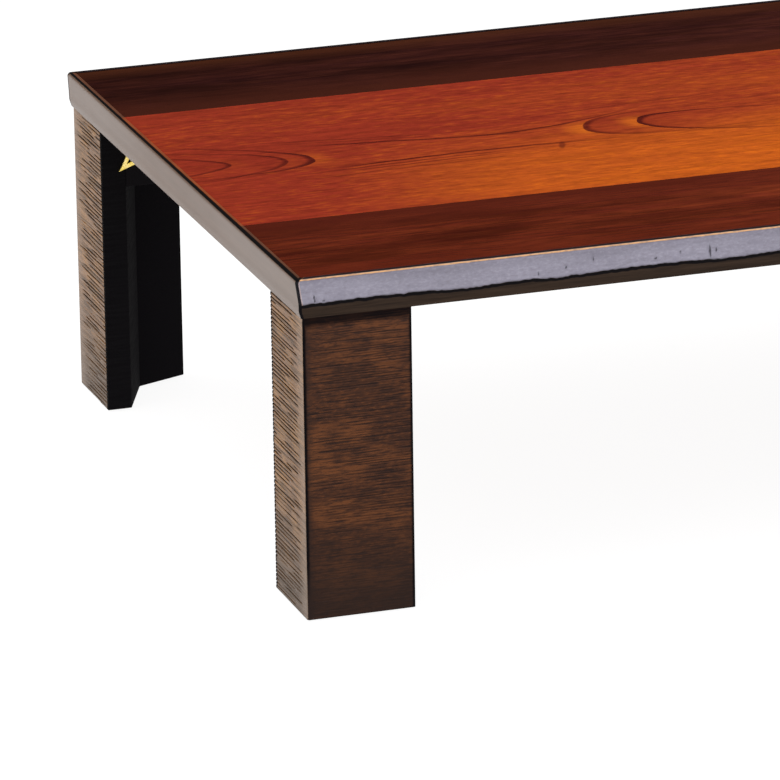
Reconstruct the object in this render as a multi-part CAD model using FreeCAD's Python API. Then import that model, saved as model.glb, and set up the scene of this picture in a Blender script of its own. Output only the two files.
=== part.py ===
import FreeCAD
import Part
import math
import os

# Low table with four folding legs. Millimetres, +Z up, X along the length, front at -Y.
# The origin is on the floor under the middle of the top.

# Overall sizes
TABLE_LENGTH = 1200.0
TABLE_DEPTH = 750.0
TABLE_HEIGHT = 325.0
TOP_THICKNESS = 36.0

# Layers of the top, from the face down
VENEER_THICKNESS = 1.0
TOP_BOARD_THICKNESS = 5.5
BOTTOM_BOARD_THICKNESS = 4.0
CENTRE_BAND_WIDTH = 386.0

# Edge strips: the top board lies in a rebate and stops short of the outline by the lip
STRIP_WIDTH = 24.0
LONG_LIP = 10.0
END_LIP = 6.5

# Long edges: an upper facet leans out, a hewn arris wanders along it, a lower facet leans back
LONG_TOP_INSET = 4.5
LONG_BOTTOM_INSET = 1.5
LONG_ARRIS_RADIUS = 2.5
HEWN_DROP = 21.5
HEWN_STROKE = 34.0
HEWN_RECESS = 0.5
HEWN_RECESS_LENGTH = 173.0
HEWN_WAVES = ((0.7, 310.0, 0.6), (0.5, 127.0, 2.1), (0.35, 83.0, 0.0))

# Short edges: a full curve that turns under towards the bottom
END_UNDERCUT = 4.0
END_ARRIS_RADIUS = 4.0

# Frame inside the top
RAIL_WIDTH = 40.0
MIDDLE_RAILS = 3
MOUNTING_MARGIN = 12.0

# Legs: open corner legs of two boards that taper from the corner to their free edges
LEG_END_INSET = 5.3
LEG_SIDE_INSET = 3.2
LEG_WIDTH = 103.0
LEG_DEPTH = 96.5
SIDE_TIP = 24.5
FACE_TIP = 13.5
INNER_CORNER_U = 51.0
INNER_CORNER_V = 34.0
LEG_TOP_CLEARANCE = 0.2
FELT_THICKNESS = 1.5
FELT_INSET = 4.0

# Hinge block in the hollow of the leg
BLOCK_WIDTH = 74.0
BLOCK_THICKNESS = 35.5
BLOCK_HEIGHT = 56.0
BLOCK_TOP_GAP = 3.0

# Hinge: two arms on the leg turn on a pin between the two ears of the base plate
SHEET = 2.5
PIVOT_BEYOND_LEG = 9.0
PIVOT_DROP = 15.5
PIN_RADIUS = 3.0
PIN_SEAT_CLEARANCE = 0.02
PIN_RUNNING_CLEARANCE = 0.05
PIN_HEAD_RADIUS = 5.5
PIN_HEAD_HEIGHT = 2.0
EAR_GAP = 0.3
EAR_RADIUS = 8.0
EAR_SPREAD = 12.0
ARM_FLAT = 7.5
ARM_SHOULDER = 15.0
ARM_CORNER_RADIUS = 3.0
ARM_TOP_DROP = 10.0
ARM_TIP_DROP = 42.5
ARM_TIP_REACH = 7.5
ARM_KNEE_RUN = 29.0
ARM_KNEE_RISE = 10.5
ARM_HEEL_RUN = 3.0
ARM_HEEL_RISE = 5.0
ARM_STRUT_RUN = 13.0
ARM_STRUT = 5.0
ARM_BAND = 4.2
ARM_HEAD = 9.0
WINDOW_MARGIN = 10.0
BASE_LENGTH = 74.0
WING_START = 14.0
WING_LENGTH = 14.0
WING_REACH = 12.0
PLATE_CHAMFER = 4.0
SPRING_THICKNESS = 0.9
SPRING_GAP = 0.1
SPRING_SIDE_GAP = 0.4
SPRING_TAIL = 28.0
SPRING_TIP = 8.0
SPRING_BEND = 4.0

# Screws
SCREW_RADIUS = 1.9
SCREW_HEAD_RADIUS = 3.4
SCREW_HEAD_HEIGHT = 2.0
SCREW_LENGTH = 16.0
SCREW_CLEARANCE = 0.1
SCREW_SIDES = 8
SCREW_EDGE_DISTANCE = 5.0

# Worked-out levels and places
HALF_LENGTH = TABLE_LENGTH / 2
HALF_DEPTH = TABLE_DEPTH / 2
UNDERSIDE = TABLE_HEIGHT - TOP_THICKNESS
CORE_BOTTOM = UNDERSIDE + BOTTOM_BOARD_THICKNESS
TOP_BOARD_TOP = TABLE_HEIGHT - VENEER_THICKNESS
CORE_TOP = TOP_BOARD_TOP - TOP_BOARD_THICKNESS
CORE_HALF_LENGTH = HALF_LENGTH - STRIP_WIDTH
CORE_HALF_DEPTH = HALF_DEPTH - STRIP_WIDTH
FACE_HALF_LENGTH = HALF_LENGTH - END_LIP
FACE_HALF_DEPTH = HALF_DEPTH - LONG_LIP
LEG_TOP = UNDERSIDE - LEG_TOP_CLEARANCE
PIVOT_U = LEG_WIDTH + PIVOT_BEYOND_LEG
PIVOT_Z = UNDERSIDE - PIVOT_DROP
LONG_ARM_V = LEG_DEPTH
SHORT_ARM_V = LEG_DEPTH - BLOCK_THICKNESS - SHEET
OUTER_EAR_V = LONG_ARM_V + SHEET + EAR_GAP
INNER_EAR_V = SHORT_ARM_V - EAR_GAP - SHEET
BASE_TOP = UNDERSIDE
BASE_UNDER = UNDERSIDE - SHEET
BASE_START_U = PIVOT_U - EAR_SPREAD
BASE_END_U = BASE_START_U + BASE_LENGTH
WING_START_U = PIVOT_U + WING_START
WING_END_U = WING_START_U + WING_LENGTH
TAIL_START_U = BASE_END_U - SPRING_TAIL
TAIL_UNDER = BASE_UNDER - SPRING_THICKNESS
ARM_TOP = UNDERSIDE - ARM_TOP_DROP
ARM_TIP_U = SIDE_TIP - ARM_TIP_REACH
ARM_TIP_Z = UNDERSIDE - ARM_TIP_DROP
ARM_KNEE_U = ARM_TIP_U + ARM_KNEE_RUN
ARM_KNEE_Z = ARM_TIP_Z + ARM_KNEE_RISE
ARM_HEEL_U = ARM_TIP_U + ARM_HEEL_RUN
ARM_HEEL_Z = ARM_TIP_Z + ARM_HEEL_RISE
BLOCK_TOP = LEG_TOP - BLOCK_TOP_GAP
X_AXIS = FreeCAD.Vector(1, 0, 0)
Y_AXIS = FreeCAD.Vector(0, 1, 0)
Z_AXIS = FreeCAD.Vector(0, 0, 1)
ORIGIN = FreeCAD.Vector(0, 0, 0)


# Shapes used throughout

def box(low, high):
    size = [b - a for a, b in zip(low, high)]
    return Part.makeBox(size[0], size[1], size[2], FreeCAD.Vector(*low))


def closed_face(points):
    return Part.Face(Part.makePolygon(points + [points[0]]))


# A corner's own frame: u runs inwards from the outer short-side face of the leg,
# v runs inwards from its outer long-side face. It is drawn at the front left corner.

def corner_point(u, v, z):
    return FreeCAD.Vector(u - HALF_LENGTH + LEG_END_INSET, v - HALF_DEPTH + LEG_SIDE_INSET, z)


def corner_prism(outline, low, high):
    face = closed_face([corner_point(u, v, low) for u, v in outline])
    return face.extrude(Z_AXIS * (high - low))


def corner_plate(outline, v, thickness):
    face = closed_face([corner_point(u, v, z) for u, z in outline])
    return face.extrude(Y_AXIS * thickness)


def round_edges(shape, axis, radius, keep):
    edges = []
    for edge in shape.Edges:
        along = edge.tangentAt(edge.FirstParameter)
        if abs(along.dot(axis)) > 0.999 and keep(edge.CenterOfMass):
            edges.append(edge)
    return shape.makeFillet(radius, edges)


def rounded_corner(before, corner, after, radius):
    towards_before = (before - corner).normalize()
    towards_after = (after - corner).normalize()
    half_angle = towards_before.getAngle(towards_after) / 2
    bisector = (towards_before + towards_after).normalize()
    reach = radius / math.tan(half_angle)
    middle = corner + bisector * (radius / math.sin(half_angle) - radius)
    return corner + towards_before * reach, middle, corner + towards_after * reach


# Outline of the top

def hewn_height(x):
    wander = sum(size * math.sin(2 * math.pi * x / length + phase) for size, length, phase in HEWN_WAVES)
    return TABLE_HEIGHT - HEWN_DROP + wander


def hewn_recess(x):
    return HEWN_RECESS * (1 + math.sin(2 * math.pi * x / HEWN_RECESS_LENGTH))


def long_edge(x, side):
    # Points of one long edge at the station x, from the bottom to the flat of the top
    stroke = x * -side
    bottom = FreeCAD.Vector(x, side * (HALF_DEPTH - LONG_BOTTOM_INSET), UNDERSIDE)
    arris = FreeCAD.Vector(x, side * (HALF_DEPTH - hewn_recess(stroke)), hewn_height(stroke))
    top = FreeCAD.Vector(x, side * (HALF_DEPTH - LONG_TOP_INSET), TABLE_HEIGHT)
    inside = FreeCAD.Vector(x, 0, TABLE_HEIGHT)
    start, middle, end = rounded_corner(arris, top, inside, LONG_ARRIS_RADIUS)
    return bottom, arris, start, middle, end


def top_section(x):
    front_bottom, front_arris, front_start, front_middle, front_end = long_edge(x, -1)
    rear_bottom, rear_arris, rear_start, rear_middle, rear_end = long_edge(x, 1)
    edges = [
        Part.makeLine(front_bottom, front_arris),
        Part.makeLine(front_arris, front_start),
        Part.Arc(front_start, front_middle, front_end).toShape(),
        Part.makeLine(front_end, rear_end),
        Part.Arc(rear_end, rear_middle, rear_start).toShape(),
        Part.makeLine(rear_start, rear_arris),
        Part.makeLine(rear_arris, rear_bottom),
        Part.makeLine(rear_bottom, front_bottom),
    ]
    return Part.Wire(edges)


def hewn_slab():
    # Each stretch between two stations is one stroke of the adze
    reach = HALF_LENGTH + HEWN_STROKE / 2
    strokes = round(2 * reach / HEWN_STROKE)
    stations = [-reach + 2 * reach * index / strokes for index in range(strokes + 1)]
    return Part.makeLoft([top_section(x) for x in stations], True, True)


def end_curve(side):
    # Edges of one short end, from the bottom to the flat of the top
    y = -HALF_DEPTH - STRIP_WIDTH
    straight = TABLE_HEIGHT - END_ARRIS_RADIUS
    bottom = FreeCAD.Vector(side * (HALF_LENGTH - END_UNDERCUT), y, UNDERSIDE)
    waist = FreeCAD.Vector(side * (HALF_LENGTH - END_UNDERCUT / 4), y, (UNDERSIDE + straight) / 2)
    side_top = FreeCAD.Vector(side * HALF_LENGTH, y, straight)
    corner = FreeCAD.Vector(side * HALF_LENGTH, y, TABLE_HEIGHT)
    start, middle, end = rounded_corner(side_top, corner, FreeCAD.Vector(0, y, TABLE_HEIGHT), END_ARRIS_RADIUS)
    edges = [Part.Arc(bottom, waist, side_top).toShape(), Part.Arc(side_top, middle, end).toShape()]
    return edges, bottom, end


def end_outline():
    left, left_bottom, left_end = end_curve(-1)
    right, right_bottom, right_end = end_curve(1)
    flat = Part.makeLine(left_end, right_end)
    under = Part.makeLine(right_bottom, left_bottom)
    wire = Part.Wire(Part.__sortEdges__(left + right + [flat, under]))
    return Part.Face(wire).extrude(Y_AXIS * 2 * (HALF_DEPTH + STRIP_WIDTH))


# Edge strips: mitred at the corners, rebated for the top board

def mitre_region(side):
    # Plan of the strip at the front or rear, with its mitres run on past the corners
    outer_x = HALF_LENGTH + STRIP_WIDTH
    outer_y = side * (HALF_DEPTH + STRIP_WIDTH)
    inner_y = side * CORE_HALF_DEPTH
    points = [
        FreeCAD.Vector(-outer_x, outer_y, UNDERSIDE),
        FreeCAD.Vector(outer_x, outer_y, UNDERSIDE),
        FreeCAD.Vector(CORE_HALF_LENGTH, inner_y, UNDERSIDE),
        FreeCAD.Vector(-CORE_HALF_LENGTH, inner_y, UNDERSIDE),
    ]
    return closed_face(points).extrude(Z_AXIS * TOP_THICKNESS)


def end_region(side):
    outer_x = side * (HALF_LENGTH + STRIP_WIDTH)
    outer_y = HALF_DEPTH + STRIP_WIDTH
    inner_x = side * CORE_HALF_LENGTH
    points = [
        FreeCAD.Vector(outer_x, -outer_y, UNDERSIDE),
        FreeCAD.Vector(outer_x, outer_y, UNDERSIDE),
        FreeCAD.Vector(inner_x, CORE_HALF_DEPTH, UNDERSIDE),
        FreeCAD.Vector(inner_x, -CORE_HALF_DEPTH, UNDERSIDE),
    ]
    return closed_face(points).extrude(Z_AXIS * TOP_THICKNESS)


def edge_strips():
    slab = hewn_slab().common(end_outline())
    low = (-FACE_HALF_LENGTH, -FACE_HALF_DEPTH, CORE_TOP)
    high = (FACE_HALF_LENGTH, FACE_HALF_DEPTH, TABLE_HEIGHT)
    rim = slab.cut(box(low, high))
    return {
        "front_edge_strip": rim.common(mitre_region(-1)),
        "rear_edge_strip": rim.common(mitre_region(1)),
        "left_edge_strip": rim.common(end_region(-1)),
        "right_edge_strip": rim.common(end_region(1)),
    }


# Face of the top: three bands of veneer on a plywood board

def veneers():
    half_band = CENTRE_BAND_WIDTH / 2
    bands = {
        "front_band_veneer": (-FACE_HALF_DEPTH, -half_band),
        "centre_veneer": (-half_band, half_band),
        "rear_band_veneer": (half_band, FACE_HALF_DEPTH),
    }
    shapes = {}
    for name, (front, rear) in bands.items():
        low = (-FACE_HALF_LENGTH, front, TOP_BOARD_TOP)
        shapes[name] = box(low, (FACE_HALF_LENGTH, rear, TABLE_HEIGHT))
    return shapes


def top_board():
    low = (-FACE_HALF_LENGTH, -FACE_HALF_DEPTH, CORE_TOP)
    return box(low, (FACE_HALF_LENGTH, FACE_HALF_DEPTH, TOP_BOARD_TOP))


# Frame inside the top

def core_piece(x0, y0, x1, y1):
    return box((x0, y0, CORE_BOTTOM), (x1, y1, CORE_TOP))


def core_rails():
    inner_x = CORE_HALF_LENGTH - RAIL_WIDTH
    inner_y = CORE_HALF_DEPTH - RAIL_WIDTH
    pitch = TABLE_LENGTH / (MIDDLE_RAILS + 1)
    middles = []
    for index in range(MIDDLE_RAILS):
        x = pitch * (index + 1) - HALF_LENGTH
        middles.append(core_piece(x - RAIL_WIDTH / 2, -inner_y, x + RAIL_WIDTH / 2, inner_y))
    return {
        "front_core_rail": core_piece(-CORE_HALF_LENGTH, -CORE_HALF_DEPTH, CORE_HALF_LENGTH, -inner_y),
        "rear_core_rail": core_piece(-CORE_HALF_LENGTH, inner_y, CORE_HALF_LENGTH, CORE_HALF_DEPTH),
        "left_core_rail": core_piece(-CORE_HALF_LENGTH, -inner_y, -inner_x, inner_y),
        "right_core_rail": core_piece(inner_x, -inner_y, CORE_HALF_LENGTH, inner_y),
        "middle_core_rails": Part.Compound(middles),
    }


def mounting_block():
    # Fills the corner of the frame as far as the base plate reaches
    inner = corner_point(BASE_END_U, OUTER_EAR_V + WING_REACH, CORE_BOTTOM)
    x0 = RAIL_WIDTH - CORE_HALF_LENGTH
    y0 = RAIL_WIDTH - CORE_HALF_DEPTH
    return core_piece(x0, y0, inner.x + MOUNTING_MARGIN, inner.y + MOUNTING_MARGIN)


def bottom_board():
    low = (-CORE_HALF_LENGTH, -CORE_HALF_DEPTH, UNDERSIDE)
    return box(low, (CORE_HALF_LENGTH, CORE_HALF_DEPTH, CORE_BOTTOM))


# Screws: a flat head under its seat and a plain shank, and the hole that takes the shank.
# They are small and many, so their round forms are drawn with a few flat sides.

def screw_round(radius, height):
    turns = [2 * math.pi * index / SCREW_SIDES for index in range(SCREW_SIDES)]
    points = [FreeCAD.Vector(radius * math.cos(turn), radius * math.sin(turn), 0) for turn in turns]
    return closed_face(points).extrude(Z_AXIS * height)


def seated(solid, seat, direction):
    solid.Placement = FreeCAD.Placement(seat, FreeCAD.Rotation(Z_AXIS, direction))
    return solid


def screw(seat, direction):
    head = screw_round(SCREW_HEAD_RADIUS, -SCREW_HEAD_HEIGHT)
    shank = screw_round(SCREW_RADIUS, SCREW_LENGTH)
    return seated(head.fuse(shank), seat, direction)


def screw_hole(seat, direction):
    hole = screw_round(SCREW_RADIUS + SCREW_CLEARANCE, SCREW_LENGTH + SCREW_CLEARANCE)
    return seated(hole, seat, direction)


def base_screw_seats():
    wing_u = (WING_START_U + WING_END_U) / 2
    tail_u = (TAIL_START_U + BASE_END_U) / 2
    return [
        corner_point(wing_u, INNER_EAR_V - WING_REACH / 2, BASE_UNDER),
        corner_point(wing_u, OUTER_EAR_V + SHEET + WING_REACH / 2, BASE_UNDER),
        corner_point(tail_u, (OUTER_EAR_V + SHEET + INNER_EAR_V) / 2, TAIL_UNDER),
    ]


# Base plate: a web against the underside, two wings and a tail for screws, two ears for the pin

def ear(v):
    drop = BASE_UNDER - PIVOT_Z
    outline = [
        (BASE_START_U, BASE_TOP),
        (PIVOT_U + EAR_SPREAD, BASE_TOP),
        (PIVOT_U + EAR_SPREAD, BASE_UNDER),
        (PIVOT_U + EAR_RADIUS, BASE_UNDER - drop),
        (PIVOT_U - EAR_RADIUS, BASE_UNDER - drop),
        (BASE_START_U, BASE_UNDER),
    ]
    tip = Part.makeCylinder(EAR_RADIUS, SHEET, corner_point(PIVOT_U, v, PIVOT_Z), Y_AXIS)
    return corner_plate(outline, v, SHEET).fuse(tip)


def base_plate(holes):
    outer_v = OUTER_EAR_V + SHEET
    half = [
        (WING_START_U, outer_v),
        (WING_START_U, outer_v + WING_REACH - PLATE_CHAMFER),
        (WING_START_U + PLATE_CHAMFER, outer_v + WING_REACH),
        (WING_END_U - PLATE_CHAMFER, outer_v + WING_REACH),
        (WING_END_U, outer_v + WING_REACH - PLATE_CHAMFER),
        (WING_END_U, outer_v),
        (BASE_END_U - PLATE_CHAMFER, outer_v),
        (BASE_END_U, outer_v - PLATE_CHAMFER),
    ]
    other_half = [(u, INNER_EAR_V + outer_v - v) for u, v in reversed(half)]
    outline = [(BASE_START_U, outer_v)] + half + other_half + [(BASE_START_U, INNER_EAR_V)]
    web = corner_prism(outline, BASE_UNDER, BASE_TOP)
    plate = web.fuse([ear(INNER_EAR_V), ear(OUTER_EAR_V)]).removeSplitter()
    bore = Part.makeCylinder(
        PIN_RADIUS + PIN_SEAT_CLEARANCE, outer_v - INNER_EAR_V, corner_point(PIVOT_U, INNER_EAR_V, PIVOT_Z), Y_AXIS)
    return plate.cut([bore] + holes)


# Detent spring: a leaf held under the tail of the base plate, its tip lying on the flats of the arms

def detent_spring(holes):
    rest = PIVOT_Z + ARM_FLAT + SPRING_GAP
    bend_u = WING_START_U - SPRING_BEND
    outline = [
        (PIVOT_U - SPRING_TIP, rest),
        (bend_u, rest),
        (TAIL_START_U, TAIL_UNDER),
        (BASE_END_U, TAIL_UNDER),
        (BASE_END_U, BASE_UNDER),
        (TAIL_START_U, BASE_UNDER),
        (bend_u, rest + SPRING_THICKNESS),
        (PIVOT_U - SPRING_TIP, rest + SPRING_THICKNESS),
    ]
    low = INNER_EAR_V + SHEET + SPRING_SIDE_GAP
    high = OUTER_EAR_V - SPRING_SIDE_GAP
    return corner_plate(outline, low, high - low).cut(holes)


# Hinge pin: a rivet through both ears, with a flat head outside each

def hinge_pin():
    length = OUTER_EAR_V + SHEET - INNER_EAR_V
    half_outline = [
        (0, -PIN_HEAD_HEIGHT),
        (PIN_HEAD_RADIUS, -PIN_HEAD_HEIGHT),
        (PIN_HEAD_RADIUS, 0),
        (PIN_RADIUS, 0),
        (PIN_RADIUS, length),
        (PIN_HEAD_RADIUS, length),
        (PIN_HEAD_RADIUS, length + PIN_HEAD_HEIGHT),
        (0, length + PIN_HEAD_HEIGHT),
    ]
    points = [FreeCAD.Vector(radius, 0, height) for radius, height in half_outline]
    rivet = closed_face(points).revolve(ORIGIN, Z_AXIS, 360)
    return seated(rivet, corner_point(PIVOT_U, INNER_EAR_V, PIVOT_Z), Y_AXIS)


# Leg boards: mitred from the outer corner to the inner corner of the leg

def inner_face_u(v):
    # Where the side board's inner face lies at a given v
    share = (LEG_DEPTH - v) / (LEG_DEPTH - INNER_CORNER_V)
    return SIDE_TIP + (INNER_CORNER_U - SIDE_TIP) * share


def side_board():
    outline = [(0, 0), (INNER_CORNER_U, INNER_CORNER_V), (SIDE_TIP, LEG_DEPTH), (0, LEG_DEPTH)]
    return corner_prism(outline, FELT_THICKNESS, LEG_TOP)


def face_board():
    outline = [(0, 0), (LEG_WIDTH, 0), (LEG_WIDTH, FACE_TIP), (INNER_CORNER_U, INNER_CORNER_V)]
    return corner_prism(outline, FELT_THICKNESS, LEG_TOP)


def felt_pad():
    outline = [
        (0, 0), (LEG_WIDTH, 0), (LEG_WIDTH, FACE_TIP),
        (INNER_CORNER_U, INNER_CORNER_V), (SIDE_TIP, LEG_DEPTH), (0, LEG_DEPTH),
    ]
    face = closed_face([corner_point(u, v, 0) for u, v in outline])
    return face.makeOffset2D(-FELT_INSET).extrude(Z_AXIS * FELT_THICKNESS)


def hinge_block(holes):
    inner_v = LEG_DEPTH - BLOCK_THICKNESS
    outline = [
        (SIDE_TIP, LEG_DEPTH), (BLOCK_WIDTH, LEG_DEPTH), (BLOCK_WIDTH, inner_v), (inner_face_u(inner_v), inner_v),
    ]
    return corner_prism(outline, BLOCK_TOP - BLOCK_HEIGHT, BLOCK_TOP).cut(holes)


# Arms: pressed plates screwed to both faces of the hinge block. The end round the pin has two flats,
# a quarter turn apart, where the spring holds the leg open and folded. The long arm forks into a slanting
# strut and a lower band that meet in a tip on the end of the side board.

def arm_lower_z(u):
    # The lower edge climbs from the tip to a knee, then less steeply to the underside of the pivot end
    if u < ARM_KNEE_U:
        return ARM_TIP_Z + ARM_KNEE_RISE * (u - ARM_TIP_U) / ARM_KNEE_RUN
    share = (u - ARM_KNEE_U) / (PIVOT_U - ARM_KNEE_U)
    return ARM_KNEE_Z + (PIVOT_Z - ARM_FLAT - ARM_KNEE_Z) * share


def strut_outer_u(z):
    share = (z - ARM_HEEL_Z) / (ARM_TOP - ARM_HEEL_Z)
    return ARM_HEEL_U + ARM_STRUT_RUN * share


def arm_blank(outline, v):
    plate = corner_plate(outline, v, SHEET)
    end_x = corner_point(PIVOT_U, 0, 0).x
    plate = round_edges(plate, Y_AXIS, ARM_CORNER_RADIUS, lambda c: c.x > end_x)
    bore = Part.makeCylinder(
        PIN_RADIUS + PIN_RUNNING_CLEARANCE, SHEET, corner_point(PIVOT_U, v, PIVOT_Z), Y_AXIS)
    return plate.cut(bore)


def pivot_end():
    return [
        (PIVOT_U + ARM_FLAT, arm_lower_z(PIVOT_U)),
        (PIVOT_U + ARM_FLAT, PIVOT_Z + ARM_FLAT),
        (PIVOT_U - ARM_FLAT, PIVOT_Z + ARM_FLAT),
        (PIVOT_U - ARM_SHOULDER, ARM_TOP),
    ]


def long_arm(holes):
    outline = [(ARM_TIP_U, ARM_TIP_Z), (ARM_KNEE_U, ARM_KNEE_Z), (PIVOT_U, arm_lower_z(PIVOT_U))] + pivot_end()
    outline += [(strut_outer_u(ARM_TOP), ARM_TOP), (ARM_HEEL_U, ARM_HEEL_Z)]
    window_start = ARM_HEEL_U + ARM_STRUT
    window_end = BLOCK_WIDTH - WINDOW_MARGIN
    window_top = ARM_TOP - ARM_HEAD
    window = [
        (window_start, arm_lower_z(window_start) + ARM_BAND),
        (ARM_KNEE_U, ARM_KNEE_Z + ARM_BAND),
        (window_end, arm_lower_z(window_end) + ARM_BAND),
        (window_end, window_top),
        (strut_outer_u(window_top) + ARM_STRUT, window_top),
    ]
    return arm_blank(outline, LONG_ARM_V).cut([corner_plate(window, LONG_ARM_V, SHEET)] + holes)


def short_arm_start():
    return inner_face_u(SHORT_ARM_V) + SHEET


def short_arm(holes):
    start = short_arm_start()
    outline = [(start, arm_lower_z(start)), (PIVOT_U, arm_lower_z(PIVOT_U))] + pivot_end() + [(start, ARM_TOP)]
    return arm_blank(outline, SHORT_ARM_V).cut(holes)


def arm_screw_seats():
    # Seat and direction of each arm screw: one over the window, one beside it, two in the short arm
    outer_v = LONG_ARM_V + SHEET
    right_u = BLOCK_WIDTH - SCREW_EDGE_DISTANCE
    left_u = short_arm_start() + SCREW_EDGE_DISTANCE
    middle_z = (ARM_TOP + arm_lower_z(right_u)) / 2
    over_u = strut_outer_u(ARM_TOP) + SCREW_EDGE_DISTANCE
    into_leg = Y_AXIS * -1
    return [
        (corner_point(over_u, outer_v, ARM_TOP - ARM_HEAD / 2), into_leg),
        (corner_point(right_u, outer_v, middle_z), into_leg),
        (corner_point(right_u, SHORT_ARM_V, middle_z), Y_AXIS),
        (corner_point(left_u, SHORT_ARM_V, middle_z), Y_AXIS),
    ]


# The four corners are mirror images of the front left one

CORNERS = {
    "front_left": (False, False),
    "front_right": (True, False),
    "rear_left": (False, True),
    "rear_right": (True, True),
}


def at_corner(shape, corner):
    across, back = CORNERS[corner]
    if across:
        shape = shape.mirror(ORIGIN, X_AXIS)
    if back:
        shape = shape.mirror(ORIGIN, Y_AXIS)
    return shape


def corner_pieces():
    base_holes = [screw_hole(seat, Z_AXIS) for seat in base_screw_seats()]
    arm_holes = [screw_hole(seat, direction) for seat, direction in arm_screw_seats()]
    arm_screws = [screw(seat, direction) for seat, direction in arm_screw_seats()]
    return {
        "base_plate": base_plate(base_holes),
        "detent_spring": detent_spring(base_holes),
        "side_board": side_board(),
        "face_board": face_board(),
        "hinge_block": hinge_block(arm_holes),
        "long_arm": long_arm(arm_holes),
        "short_arm": short_arm(arm_holes),
        "arm_screws": Part.Compound(arm_screws),
        "felt_pad": felt_pad(),
    }


def on_all_corners(shape):
    return [at_corner(shape, corner) for corner in CORNERS]


def tabletop_pieces():
    holes = []
    screws = []
    for seat in base_screw_seats():
        holes += on_all_corners(screw_hole(seat, Z_AXIS))
        screws += on_all_corners(screw(seat, Z_AXIS))
    rails = core_rails()
    for name in ("front_core_rail", "rear_core_rail"):
        rails[name] = rails[name].cut(holes)
    blocks = [block.cut(holes) for block in on_all_corners(mounting_block())]
    pieces = {}
    pieces.update(veneers())
    pieces["top_board"] = top_board()
    pieces.update(edge_strips())
    pieces.update(rails)
    pieces["hinge_mounting_blocks"] = Part.Compound(blocks)
    pieces["bottom_board"] = bottom_board().cut(holes)
    pieces["base_plate_screws"] = Part.Compound(screws)
    pieces["hinge_pins"] = Part.Compound(on_all_corners(hinge_pin()))
    return pieces


os.makedirs("parts", exist_ok=True)
table = tabletop_pieces()
for piece, shape in corner_pieces().items():
    for corner in CORNERS:
        table[corner + "_" + piece] = at_corner(shape, corner)
for name, shape in table.items():
    shape.exportStep("parts/" + name + ".step")
    print(name, "solids", len(shape.Solids), "valid", shape.isValid(), "volume", round(shape.Volume / 1000, 2), "cm3")
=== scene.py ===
import math

import bmesh
import bpy
import numpy as np
from mathutils import Matrix, Vector, noise


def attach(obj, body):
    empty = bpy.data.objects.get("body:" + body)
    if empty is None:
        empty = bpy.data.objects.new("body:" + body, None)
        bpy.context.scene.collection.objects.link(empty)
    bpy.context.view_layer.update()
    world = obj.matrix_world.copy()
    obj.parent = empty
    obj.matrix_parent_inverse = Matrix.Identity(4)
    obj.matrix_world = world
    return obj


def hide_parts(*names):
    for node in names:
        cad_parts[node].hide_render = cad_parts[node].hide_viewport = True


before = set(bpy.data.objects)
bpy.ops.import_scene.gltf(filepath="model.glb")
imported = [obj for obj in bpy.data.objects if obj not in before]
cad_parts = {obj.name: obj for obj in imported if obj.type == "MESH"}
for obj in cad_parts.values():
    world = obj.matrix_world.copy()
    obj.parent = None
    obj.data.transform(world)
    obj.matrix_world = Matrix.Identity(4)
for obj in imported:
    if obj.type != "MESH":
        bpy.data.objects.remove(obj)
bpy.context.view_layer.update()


# Core rails and mounting blocks: the frame hidden inside the top, sawn from pale softwood.
# The rails are butted and glued, and the blocks fill the corners where the hinges are screwed on.

def connect(value, socket):
    # Links a value to a socket, or sets it there; colours are given as red, green and blue
    if isinstance(value, bpy.types.NodeSocket):
        socket.id_data.links.new(value, socket)
    elif socket.type == "RGBA":
        socket.default_value = (*value, 1.0)
    else:
        socket.default_value = value


def add(tree, kind, inputs=None, **settings):
    # One shader node, with its inputs set or linked by name
    made = tree.nodes.new("ShaderNode" + kind)
    for key, value in settings.items():
        setattr(made, key, value)
    for name, value in (inputs or {}).items():
        connect(value, made.inputs[name])
    return made


def home(values):
    # The node tree that the first linked one of some values belongs to
    return next(value.id_data for value in values if isinstance(value, bpy.types.NodeSocket))


def vectors(operation, *values, kind="VectorMath"):
    made = add(home(values), kind, operation=operation)
    for value, socket in zip(values, made.inputs):
        connect(value, socket)
    return made.outputs


def reckon(operation, *values):
    return vectors(operation, *values, kind="Math")[0]


def times(value, *others):
    for other in others:
        value = reckon("MULTIPLY", value, other)
    return value


def mixed(share, first, second, way="MIX"):
    # Two colours, blended by a share from 0 to 1
    made = add(home((share, first, second)), "Mix", data_type="RGBA", blend_type=way)
    for index, value in ((0, share), (6, first), (7, second)):
        connect(value, made.inputs[index])
    return made.outputs[2]


def rise(value, low, high, start=0.0, end=1.0):
    # Goes smoothly from start to end as the value goes from low to high
    inputs = {"Value": value, "From Min": low, "From Max": high, "To Min": start, "To Max": end}
    return add(value.id_data, "MapRange", inputs, interpolation_type="SMOOTHSTEP").outputs["Result"]


def stretched(place, lengths):
    # A place counted in lengths along X, Y and Z
    return vectors("DIVIDE", place, lengths)[0]


def cloud(place, lengths, detail=2.0):
    # Noise from 0 to 1 whose lumps are about as long as given, in millimetres
    inputs = {"Vector": stretched(place, lengths), "Scale": 1.0, "Detail": detail, "Roughness": 0.55}
    return add(place.id_data, "TexNoise", inputs).outputs["Fac"]


def start_material(name, turn=0.0):
    # A new material, and the place on the piece in millimetres, turned so that the grain runs along X
    material = bpy.data.materials.new(name)
    material.use_nodes = True
    place = add(material.node_tree, "TexCoord").outputs["Object"]
    inputs = {"Vector": place, "Rotation": (0.0, 0.0, turn), "Scale": (1000.0, 1000.0, 1000.0)}
    return material, add(material.node_tree, "Mapping", inputs).outputs["Vector"]


def joined(x, y, z):
    return add(home((x, y, z)), "CombineXYZ", {"X": x, "Y": y, "Z": z}).outputs[0]


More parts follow.
